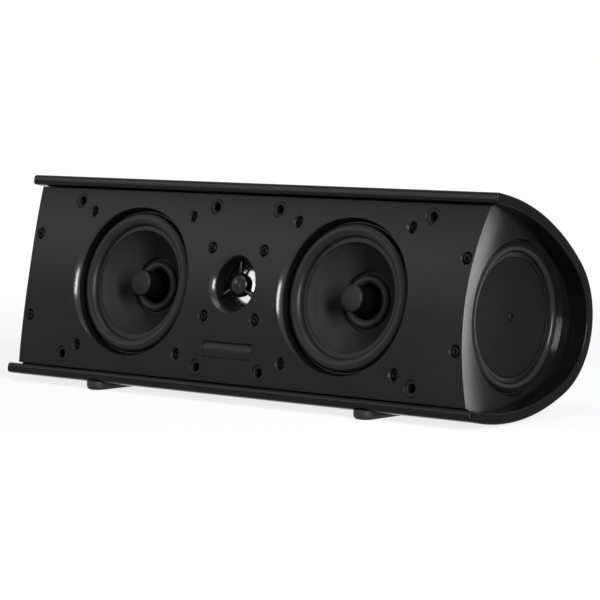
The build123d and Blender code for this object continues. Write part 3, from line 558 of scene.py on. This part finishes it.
def finish(name):
    """The named finish, made once."""
    if name not in MATERIALS:
        f = finishes()
        makers = {
            "shell": lambda: moulding("shell_satin", f.shell, 0.17, 0.03, 2600.0, 0.10, uneven=0.02),
            "rim": lambda: moulding("rim_satin", f.shell, 0.24, 0.03, 2600.0, 0.03),
            "baffle": lambda: moulding("baffle_grain", f.baffle, 0.34, 0.12, 2200.0, 0.10),
            "end_cap": lambda: moulding("end_cap_smooth", f.end_cap, 0.16, 0.02, 1500.0, 0.03),
            # The flare's throat colour is painted shade for the dark depth of the opening
            "flare": lambda: lip_with_painted_throat_shade("flare_throat_painted_shade", f.baffle, (0.0015, 0.0015, 0.0015)),
            "rubber": lambda: moulding("surround_rubber", f.rubber, 0.40, 0.06, 1800.0, 0.17),
            "smooth_rubber": lambda: moulding("surround_smooth", f.rubber, 0.23, 0.06, 1800.0, 0.18),
            "foot": lambda: moulding("foot_rubber", f.rubber, 0.55, 0.35, 1400.0, 0.25),
            "cone": lambda: moulding("cone_moulding", f.cone, 0.55, 0.10, 1600.0, 0.012),
            "collar": lambda: moulding("collar_grey", f.collar, 0.45, 0.08, 1500.0, 0.16),
            # The plug's stem colour is painted shade for the dark inside of the cone's neck
            "plug": lambda: plug_with_painted_stem_shade("plug_stem_painted_shade", f.plug, (0.0012, 0.0012, 0.0012)),
            "bulb": lambda: moulding("bulb_satin", f.piston, 0.30, 0.03, 1500.0, 0.04, coat=0.35),
            "piston": lambda: moulding("piston_matte", f.piston, 0.55, 0.20, 1700.0, 0.06),
            "socket": lambda: moulding("socket_matte", f.socket, 0.50, 0.06, 1500.0, 0.14),
            "terminal": lambda: moulding("terminal_matte", f.terminal, 0.48, 0.25, 1600.0, 0.30),
            "cap_red": lambda: moulding("cap_red", f.cap_red, 0.30, 0.05, 1500.0, 0.5),
            "cap_black": lambda: moulding("cap_black", f.cap_black, 0.30, 0.05, 1500.0, 0.5),
            "enamel": lambda: moulding("basket_enamel", f.shell, 0.40, 0.08, 1200.0, 0.35),
            "ferrite": lambda: moulding("ferrite_grey", (0.045, 0.045, 0.047), 0.70, 0.40, 900.0, 0.4),
            "film": lambda: moulding("capacitor_film", (0.52, 0.36, 0.05), 0.30, 0.04, 600.0, 0.5),
            "cement": lambda: moulding("resistor_cement", (0.66, 0.64, 0.58), 0.80, 0.30, 1200.0, 0.4),
            "dome": lambda: metal("dome_drawn", f.dome, 0.16, (300.0, 300.0, 300.0), 0.03),
            "screw": lambda: metal("screw_oxide", f.screw, 0.46, (600.0, 600.0, 600.0), 0.2),
            "brass": lambda: metal("brass_plated", f.brass, 0.24),
            "steel": lambda: metal("steel_plated", f.steel, 0.30),
            "cloth": lambda: woven("spider_cloth", (0.42, 0.30, 0.11), 520.0),
            "copper": lambda: wound("copper_winding", (0.62, 0.27, 0.11), 420.0),
            "former_and_groove_shade": lambda: moulding("coil_former_and_groove_shade", (0.006, 0.006, 0.006), 0.50, 0.05, 1500.0, 0.10),
            "board": lambda: circuit("board_mask", (0.020, 0.110, 0.035), (0.060, 0.200, 0.070)),
        }
        MATERIALS[name] = makers[name]()
    return MATERIALS[name]


# Pieces

class SpeakerPiece:
    """Shared layout of the operators that make pieces."""

    bl_options = {"REGISTER", "UNDO"}


class SPEAKER_OT_shell(SpeakerPiece, Operator):
    """Bends the shell's wall from lip to lip, cuts the terminal opening and rounds its rims"""

    bl_idname = "speaker.shell"
    bl_label = "Shell"

    def execute(self, context):
        s = sizes()
        half = s.shell_height / 2
        nose_y = s.shell_depth - s.nose_r
        reach = nose_y - s.roof_end
        flank_r = (reach**2 + half**2 - s.nose_r**2) / (2 * (half - s.nose_r))
        flank_z = flank_r - half
        join = atan2(flank_z, reach)
        x = -s.shell_width / 2
        bm = bmesh.new()
        lip = bm.verts.new((x, s.lip_setback, half))
        last = bm.verts.new((x, s.roof_end, half))
        bm.edges.new((lip, last))
        arcs = (
            ((x, s.roof_end, -flank_z), join - pi / 2, 40),
            ((x, nose_y, 0), -2 * join, 56),
            ((x, s.roof_end, flank_z), join - pi / 2, 40),
        )
        for centre, angle, steps in arcs:
            swept = bmesh.ops.spin(bm, geom=[last], cent=centre, axis=(1, 0, 0), angle=angle, steps=steps)
            last = [v for v in swept["geom_last"] if isinstance(v, bmesh.types.BMVert)][0]
        low = bm.verts.new((x, s.lip_setback, -half))
        bm.edges.new((last, low))
        opening = CUP_OPENING_X
        edges = list(bm.edges)
        for step in (s.shell_width / 2 - opening, 2 * opening, s.shell_width / 2 - opening):
            grown = bmesh.ops.extrude_edge_only(bm, edges=edges)["geom"]
            verts = [v for v in grown if isinstance(v, bmesh.types.BMVert)]
            bmesh.ops.translate(bm, verts=verts, vec=(step, 0, 0))
            edges = [e for e in grown if isinstance(e, bmesh.types.BMEdge)]
        for z in CUP_OPENING_Z:
            everything = list(bm.verts) + list(bm.edges) + list(bm.faces)
            bmesh.ops.bisect_plane(bm, geom=everything, plane_co=(0, 0, z), plane_no=(0, 0, 1))
        low_z, high_z = CUP_OPENING_Z
        hole = [
            f for f in bm.faces
            if abs(f.calc_center_median().x) < opening and low_z < f.calc_center_median().z < high_z
        ]
        bmesh.ops.delete(bm, geom=hole, context="FACES")
        bmesh.ops.remove_doubles(bm, verts=bm.verts, dist=1e-6)
        bmesh.ops.recalc_face_normals(bm, faces=bm.faces)
        roof = max(bm.faces, key=lambda f: f.calc_center_median().z)
        if roof.normal.z < 0:
            bmesh.ops.reverse_faces(bm, faces=bm.faces)
        bmesh.ops.solidify(bm, geom=list(bm.faces), thickness=s.shell_wall)
        bmesh.ops.recalc_face_normals(bm, faces=bm.faces)
        for along_lips, offset in ((True, s.rim_round), (False, s.end_round)):
            edges = [e for e in sharp_edges(bm, RIM_ANGLE) if not self.at_opening(e)]
            bevelled(bm, [e for e in edges if self.along_lips(e) == along_lips], offset, 5)
        for face in bm.faces:
            face.material_index = 1 if abs(face.normal.x) > 0.97 else 0
        shell = piece(bm, "shell", finish("shell"), "cabinet", ["cabinet_shell"], stand())
        shell.data.materials.append(finish("rim"))
        even = shell.modifiers.new("even_normals", "WEIGHTED_NORMAL")
        even.keep_sharp = True
        return {"FINISHED"}

    def along_lips(self, edge):
        """Whether an edge runs along the front lips and not round an end."""
        return abs(edge.verts[0].co.x - edge.verts[1].co.x) > 0.01

    def at_opening(self, edge):
        """Whether an edge belongs to the terminal opening in the shell's back."""
        middle = (edge.verts[0].co + edge.verts[1].co) / 2
        return abs(middle.x) < CUP_OPENING_X + 0.001 and middle.y > sizes().shell_depth / 2


class SPEAKER_OT_baffle(SpeakerPiece, Operator):
    """Smooths the bowed baffle and lays the blank badge plate in its recess"""

    bl_idname = "speaker.baffle"
    bl_label = "Baffle"

    def execute(self, context):
        panel = piece(copied("baffle"), "baffle_panel", finish("baffle"), "cabinet", ["baffle"])
        s = sizes()
        flares = [flare_surface(side * s.woofer_x, 0, *WOOFER_FLARE) for side in SIDES.values()]
        horn = flare_surface(0, s.tweeter_z, *TWEETER_FLARE)
        panel.data.materials.append(finish("end_cap"))
        panel.data.materials.append(finish("flare"))
        curved = [(bow_surface, 0), (dish_surface, 1), *[(flare, 2) for flare in (horn, *flares)]]
        true_normals(panel.data, curved)
        piece(copied("badge_plate"), "badge_blank", finish("baffle"), "cabinet", ["badge_plate"])
        return {"FINISHED"}


class SPEAKER_OT_end_caps(SpeakerPiece, Operator):
    """Smooths the two dished end caps"""

    bl_idname = "speaker.end_caps"
    bl_label = "End caps"

    def execute(self, context):
        for name in SIDES:
            node = f"end_cap_{name}"
            dish = piece(copied(node), f"end_dish_{name}", finish("end_cap"), "cabinet", [node])
            true_normals(dish.data, [(dish_surface, 0)])
        return {"FINISHED"}


# Radii of a roll's fixed lip, its two feet and its moving lip, the height of its base, and its thickness
Roll = namedtuple("Roll", "lip outer inner inner_lip base skin")
WOOFER_ROLL = Roll(47.5, 44.5, 35.9, 33.3, 0.0, 0.8)
RADIATOR_ROLL = Roll(45.45, 44.0, 37.8, 35.4, -5.4, 0.8)
SURROUND_SECTORS = 12
# Faces outside the first radius are the collar's groove, painted near-black as shade under the cone's neck;
# those inside the second and above the floor are the pip
COLLAR_SHADE_R = 16.2
PIP_R = 2.8
PIP_FLOOR = -6
PLUG_OUTLINE = [
    (0.0, -30.0), (8.4, -30.0), (8.4, -1.9), (8.32, -1.2), (8.05, -0.4), (7.6, 0.35), (6.95, 1.0), (6.0, 1.55),
    (4.6, 2.05), (2.6, 2.4), (0.0, 2.5),
]
PISTON_OUTLINE = [
    (0.0, -7.4), (37.8, -7.4), (37.8, -5.4), (35.2, -5.4), (35.2, -5.0), (34.8, -4.6), (34.0, -4.6),
    (33.4, -4.9), (2.7, -4.9), (2.4, -4.4), (2.0, -4.1), (1.5, -4.05), (1.1, -4.3), (0.9, -5.2), (0.0, -5.4),
]
SOCKET_OUTLINE = [
    (0.0, -9.0), (4.0, -9.0), (4.0, 0.0), (5.0, 0.0), (5.0, 0.5), (4.7, 0.8), (3.2, 0.8), (2.8, 0.4),
    (2.8, -8.0), (0.0, -8.0),
]


def surround_sectors(name, roll, place, node, look):
    """A half-roll surround in sectors, from its fixed outer lip to its moving inner lip."""
    lip, outer, inner, inner_lip, base, skin = roll
    over = half_circle(outer, inner, base + skin, 18)
    under = half_circle(outer - skin, inner + skin, base, 18)[::-1]
    outline = [(lip, base), (lip, base + skin), *over, (inner_lip, base + skin), (inner_lip, base), *under]
    step = tau / SURROUND_SECTORS
    for index in range(SURROUND_SECTORS):
        bm = turned(outline, 16, step, index * step)
        nodes = [node] if index == 0 else []
        sector = piece(bm, f"{name}_{index + 1:02d}", finish(look), None, nodes, place)
        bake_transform(sector)


class SPEAKER_OT_woofers(SpeakerPiece, Operator):
    """Turns the surround, cone, collar and phase plug of both woofers"""

    bl_idname = "speaker.woofers"
    bl_label = "Woofers"

    def execute(self, context):
        for name, side in SIDES.items():
            place = front_place(side * sizes().woofer_x, 0)
            cone_body = f"woofer_{name}_cone"
            surround_sectors(
                f"woofer_roll_{name}", WOOFER_ROLL, place, f"woofer_surround_{name}",
                "rubber",
            )
            over = swell((34.1, 0.0), (18.2, -15.0), 1.9, 24)
            under = swell((18.2, -15.8), (34.1, -0.8), -1.9, 24)
            ridge = swell(over[5], over[7], 0.35, 6)
            cone = turned([(36.7, -0.8), (36.7, 0.0), *over[:5], *ridge, *over[8:], *under])
            piece(cone, f"woofer_cone_skin_{name}", finish("cone"), cone_body, [f"woofer_cone_{name}"], place)
            crest = swell((16.2, -15.8), (11.0, -15.8), -1.8, 14)
            collar = turned([
                (19.0, -17.2), (19.0, -15.8), (18.2, -15.8), (17.9, -16.9), (16.5, -16.9), *crest,
                (11.0, -17.2),
            ])
            # Groove faces take the near-black former finish as painted shade under the cone's neck
            for face in collar.faces:
                face.material_index = int(face.calc_center_median().to_2d().length > COLLAR_SHADE_R)
            ring = piece(
                collar, f"woofer_ring_{name}", finish("collar"), cone_body, [f"woofer_collar_{name}"], place
            )
            ring.data.materials.append(finish("former_and_groove_shade"))
            plug = turned(PLUG_OUTLINE, 96)
            piece(plug, f"woofer_plug_{name}", finish("plug"), "cabinet", [f"woofer_phase_plug_{name}"], place)
        return {"FINISHED"}


class SPEAKER_OT_radiators(SpeakerPiece, Operator):
    """Turns the surround and piston of the passive radiator in each end"""

    bl_idname = "speaker.radiators"
    bl_label = "Radiators"

    def execute(self, context):
        for name, side in SIDES.items():
            place = end_place(side)
            piston_body = f"radiator_{name}_piston"
            surround_sectors(
                f"radiator_roll_{name}", RADIATOR_ROLL, place,
                f"radiator_surround_{name}", "smooth_rubber",
            )
            piston = turned(PISTON_OUTLINE)
            for face in piston.faces:
                on_pip = max(v.co.xy.length for v in face.verts) < PIP_R
                face.material_index = int(on_pip and face.calc_center_median().z > PIP_FLOOR)
            disc = piece(
                piston, f"radiator_disc_{name}", finish("piston"), piston_body, [f"radiator_piston_{name}"],
                place,
            )
            disc.data.materials.append(finish("screw"))
        return {"FINISHED"}


class SPEAKER_OT_tweeter(SpeakerPiece, Operator):
    """Turns the metal dome with its roll and builds the spoked disc before it"""

    bl_idname = "speaker.tweeter"
    bl_label = "Tweeter"

    def execute(self, context):
        place = front_place(0, sizes().tweeter_z)
        base = -1.9
        over = swell((12.0, base), (0.0, base + 2.7), -0.68, 20)
        under = swell((0.0, base + 2.3), (11.6, base), 0.68, 20)
        dome = turned([(11.6, base - 4.0), (12.0, base - 4.0), *over, *under], 96)
        piece(dome, "tweeter_metal_dome", finish("dome"), "tweeter_dome", ["tweeter_dome"], place)
        roll = half_circle(13.45, 12.15, -3.2, 8)
        ring = turned([(13.45, -3.6), *roll, (12.15, -3.6)], 96)
        piece(ring, "tweeter_roll", finish("rubber"), "cabinet", ["tweeter_surround"], place)
        crown = [(7.6 * cos(a), 1.5 + 5.4 * sin(a)) for a in [radians(90 * k / 16) for k in range(17)]]
        disc = turned([(0.0, 1.5), (7.2, 1.5), *crown], 72)
        spokes = []
        for turn in range(3):
            bm = bmesh.new()
            bmesh.ops.create_cube(bm, size=1.0)
            bmesh.ops.scale(bm, vec=(8.2, 1.8, 2.4), verts=bm.verts)
            bevelled(bm, list(bm.edges), 0.4, 3)
            bmesh.ops.translate(bm, vec=(10.3, 0, 2.7), verts=bm.verts)
            spokes.append(at(bm, Matrix.Rotation(radians(90 + 120 * turn), 4, "Z")))
        whole = joined([disc, *spokes])
        piece(whole, "tweeter_spoked_disc", finish("bulb"), "cabinet", ["tweeter_phase_disc"], place)
        return {"FINISHED"}


def cross_screw(head_r, head, shank_r, length):
    """A pan-head screw with a cross recess, its seat at z zero, in millimetres."""
    recess = head_r * 0.62
    bm = turned([
        (recess, head * 0.96), (head_r * 0.80, head * 0.80), (head_r * 0.95, head * 0.50),
        (head_r, head * 0.15), (head_r, 0.0), (shank_r, 0.0), (shank_r, -length), (recess * 0.3, -length),
        (recess * 0.3, head * 0.5),
    ], 24)
    for v in bm.verts:
        radius = Vector((v.co.x, v.co.y)).length
        if abs(radius - recess) < 1e-3 and v.co.z > head * 0.9:
            turn = degrees(atan2(v.co.y, v.co.x)) % 90
            if 20 < turn < 70:
                v.co.x *= 0.5
                v.co.y *= 0.5
    return bm


# Depths of the screws' and sockets' seats behind the crown, and their places across the face, in millimetres
SCREW_SEATS = {"woofer_screws": 7.6, "tweeter_screws": 3.2, "edge_screws": 3.6}
SOCKET_SEAT = 6.4
SOCKET_X = (-140.8, -25.3, 25.3, 140.8)
SOCKET_Z = (-49.7, 49.7)
ENDS = (-1, 1)
SCREW_PLACES = {
    "woofer_screws": [(side * 85 + dx * 42.7, dz * 42.7) for side in ENDS for dx in ENDS for dz in ENDS],
    "tweeter_screws": [(dx * 20.7, 2.8 + dz * 21.0) for dx in ENDS for dz in ENDS],
    "edge_screws": [(dx * 170.8, dz * 26.5) for dx in ENDS for dz in ENDS],
}


class SPEAKER_OT_screws(SpeakerPiece, Operator):
    """Sets a cross-recessed screw in each pocket of the baffle"""

    bl_idname = "speaker.screws"
    bl_label = "Screws"

    def execute(self, context):
        for node, places in SCREW_PLACES.items():
            screws = []
            for index, (x, z) in enumerate(places):
                turn = Matrix.Rotation(radians(17 + 47 * index), 4, "Z")
                seat = front_place(x * MM, z * MM, SCREW_SEATS[node] * MM)
                screws.append(at(cross_screw(head_r=2.9, head=2.2, shank_r=1.6, length=8.0), seat @ turn))
            piece(joined(screws), f"{node}_crossed", finish("screw"), "cabinet", [node])
        return {"FINISHED"}


class SPEAKER_OT_sockets(SpeakerPiece, Operator):
    """Turns the eight grille sockets"""

    bl_idname = "speaker.sockets"
    bl_label = "Grille sockets"

    def execute(self, context):
        cups = []
        for x in SOCKET_X:
            for z in SOCKET_Z:
                cups.append(at(turned(SOCKET_OUTLINE, 32), front_place(x * MM, z * MM, SOCKET_SEAT * MM)))
        piece(joined(cups), "grille_cups", finish("socket"), "cabinet", ["grille_sockets"])
        return {"FINISHED"}


class SPEAKER_OT_feet(SpeakerPiece, Operator):
    """Smooths the rubber runners and the levelling screw's ball tip"""

    bl_idname = "speaker.feet"
    bl_label = "Feet"

    def execute(self, context):
        for name in SIDES:
            piece(copied(f"foot_{name}"), f"runner_{name}", finish("foot"), "cabinet", [f"foot_{name}"])
        rows = (
            ("levelling_tip", "levelling_ball", "foot", "levelling_screw"),
            ("levelling_stud", "levelling_bolt", "screw", "levelling_screw"),
            ("levelling_insert", "levelling_sleeve", "screw", "cabinet"),
        )
        for node, name, look, body in rows:
            piece(copied(node), name, finish(look), body, [node])
        return {"FINISHED"}


class SPEAKER_OT_terminals(SpeakerPiece, Operator):
    """Smooths the terminal cup and its binding posts"""

    bl_idname = "speaker.terminals"
    bl_label = "Terminals"

    def execute(self, context):
        rows = (
            ("terminal_cup", "terminal", "cabinet"), ("binding_posts", "brass", "cabinet"),
            ("post_collars", "terminal", "cabinet"), ("post_nuts", "brass", "cabinet"),
            ("post_cap_red", "cap_red", "red_post_cap"), ("post_cap_black", "cap_black", "black_post_cap"),
        )
        for node, look, body in rows:
            piece(copied(node), f"{node}_smooth", finish(look), body, [node])
        return {"FINISHED"}


INSIDE_FINISHES = {
    "woofer_basket": "enamel", "woofer_top_plate": "steel", "woofer_magnet": "ferrite",
    # The woofers' back plates take the matte black socket finish as painted shade for the hole round each plug
    "woofer_back_plate": "socket", "woofer_spider": "cloth", "woofer_voice_coil": "former_and_groove_shade",
    "radiator_frame": "enamel", "tweeter_frame": "socket", "tweeter_motor": "ferrite",
    "crossover_board": "board", "crossover_chokes": "copper",
    "crossover_capacitors": "film", "crossover_resistor": "cement", "board_screws": "steel",
}


class SPEAKER_OT_insides(SpeakerPiece, Operator):
    """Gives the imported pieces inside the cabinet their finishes"""

    bl_idname = "speaker.insides"
    bl_label = "Insides"

    def execute(self, context):
        for start, look in INSIDE_FINISHES.items():
            for node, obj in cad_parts.items():
                if node == start or node in (f"{start}_left", f"{start}_right"):
                    obj.data.materials.clear()
                    obj.data.materials.append(finish(look))
        return {"FINISHED"}


# Each lamp's name, place, target, width, height and power
LAMPS = (
    ("key_softbox", (1.85, -0.88, 0.62), (0, 0, 0.07), 0.34, 1.15, 62.0),
    ("front_left_softbox", (-1.28, -1.46, 0.86), (0, 0, 0.08), 0.95, 0.62, 6.0),
    ("front_strip", (-0.1, -2.0, 0.40), (0, 0, 0.07), 0.12, 0.8, 2.5),
    ("rear_low_strip", (0.255, 0.40, 0.013), (0.17, 0.0, 0.07), 0.11, 0.022, 0.096),
    ("top_softbox", (0.2, -0.45, 1.7), (0, 0, 0), 1.0, 1.0, 9.0),
)


def softbox(name, place, target, width, height, power):
    """An area lamp aimed at a target."""
    lamp = bpy.data.lights.new(name, "AREA")
    lamp.shape = "RECTANGLE"
    lamp.size = width
    lamp.size_y = height
    lamp.energy = power
    obj = bpy.data.objects.new(name, lamp)
    obj.location = place
    obj.rotation_euler = (Vector(target) - Vector(place)).to_track_quat("-Z", "Y").to_euler()
    obj.visible_camera = False
    bpy.context.scene.collection.objects.link(obj)
    return obj


class SPEAKER_OT_stage(SpeakerPiece, Operator):
    """Sets the camera, the lamps, the white background and the floor that keeps the shadow"""

    bl_idname = "speaker.stage"
    bl_label = "Stage"

    def execute(self, context):
        scene = context.scene
        stage = scene.speaker_stage
        scene.view_settings.view_transform = "Standard"
        camera = bpy.data.cameras.new("camera")
        camera.lens = stage.lens
        camera.sensor_width = 36.0
        camera.clip_end = 50.0
        eye = bpy.data.objects.new("camera", camera)
        eye.location = stage.camera_place
        eye.rotation_euler = stage.camera_turn
        scene.collection.objects.link(eye)
        scene.camera = eye

        world = bpy.data.worlds.new("white_room")
        scene.world = world
        world.use_nodes = True
        wire = Wire(world.node_tree)
        seen = self.seen(wire)
        strength = seen * (1.0 - stage.ambient) + stage.ambient
        background = world.node_tree.nodes["Background"]
        background.inputs["Color"].default_value = (1, 1, 1, 1)
        world.node_tree.links.new(strength.socket, background.inputs["Strength"])

        bm = bmesh.new()
        bmesh.ops.create_grid(bm, x_segments=1, y_segments=1, size=6.0)
        mesh = bpy.data.meshes.new("floor")
        bm.to_mesh(mesh)
        bm.free()
        mesh.materials.append(self.floor_material())
        floor = bpy.data.objects.new("floor", mesh)
        scene.collection.objects.link(floor)

        for lamp in LAMPS:
            softbox(*lamp)
        return {"FINISHED"}

    def seen(self, wire):
        """One where the camera, a mirror or clear glass looks, and zero for light that falls on things."""
        kinds = ("Is Camera Ray", "Is Glossy Ray", "Is Transmission Ray")
        rays = [wire.add("ShaderNodeLightPath", output=kind) for kind in kinds]
        return wire.add("ShaderNodeClamp", {"Value": rays[0] + rays[1] + rays[2]})

    def floor_material(self):
        """Pale floor that looks white where it is seen and still takes a soft shadow."""
        material, shader, wire = blank_material("floor_white")
        links = material.node_tree.links
        seen = self.seen(wire)
        pale = blended(wire, seen, (0.2, 0.2, 0.2, 1), (0.9, 0.9, 0.9, 1))
        links.new(pale.socket, shader.inputs["Base Color"])
        shader.inputs["Roughness"].default_value = 0.9
        shader.inputs["Specular IOR Level"].default_value = 0.1
        where = wire.add("ShaderNodeTexCoord", output="Object")
        away = wire.add("ShaderNodeVectorMath", {0: where}, output="Value", operation="LENGTH")
        share = wire.add(
            "ShaderNodeMapRange",
            {"Value": away, "From Min": 0.35, "From Max": 1.2, "To Min": 0.75, "To Max": 0.98},
        )
        glow = wire.add("ShaderNodeEmission", {"Color": (1, 1, 1, 1), "Strength": 1.08})
        lit = Wire(material.node_tree, shader.outputs[0])
        mixed = wire.add("ShaderNodeMixShader", {0: seen * share, 1: lit, 2: glow})
        output = material.node_tree.nodes["Material Output"]
        links.new(mixed.socket, output.inputs["Surface"])
        return material


PIECE_OPERATORS = [
    SPEAKER_OT_shell, SPEAKER_OT_baffle, SPEAKER_OT_end_caps, SPEAKER_OT_woofers, SPEAKER_OT_radiators,
    SPEAKER_OT_tweeter, SPEAKER_OT_screws, SPEAKER_OT_sockets, SPEAKER_OT_feet, SPEAKER_OT_terminals,
    SPEAKER_OT_insides, SPEAKER_OT_stage,
]


class SPEAKER_PT_panel(Panel):
    """Lists the speaker's pieces and its stage"""

    bl_idname = "SPEAKER_PT_panel"
    bl_label = "Center channel speaker"
    bl_space_type = "VIEW_3D"
    bl_region_type = "UI"
    bl_category = "Speaker"

    def draw(self, context):
        for operator in PIECE_OPERATORS:
            self.layout.operator(operator.bl_idname)


CLASSES += [*PIECE_OPERATORS, SPEAKER_PT_panel]


def register():
    """Registers the classes and hangs the settings on the scene."""
    for cls in CLASSES:
        bpy.utils.register_class(cls)
    bpy.types.Scene.speaker_sizes = PointerProperty(type=SpeakerSizes)
    bpy.types.Scene.speaker_finishes = PointerProperty(type=SpeakerFinishes)
    bpy.types.Scene.speaker_stage = PointerProperty(type=SpeakerStage)


def unregister():
    """Takes the settings and the classes away again."""
    del bpy.types.Scene.speaker_sizes
    del bpy.types.Scene.speaker_finishes
    del bpy.types.Scene.speaker_stage
    for cls in reversed(CLASSES):
        bpy.utils.unregister_class(cls)


def main():
    """Makes every piece and the stage."""
    register()
    for operator in PIECE_OPERATORS:
        group, name = operator.bl_idname.split(".")
        getattr(getattr(bpy.ops, group), name)()


if __name__ == "__main__":
    main()
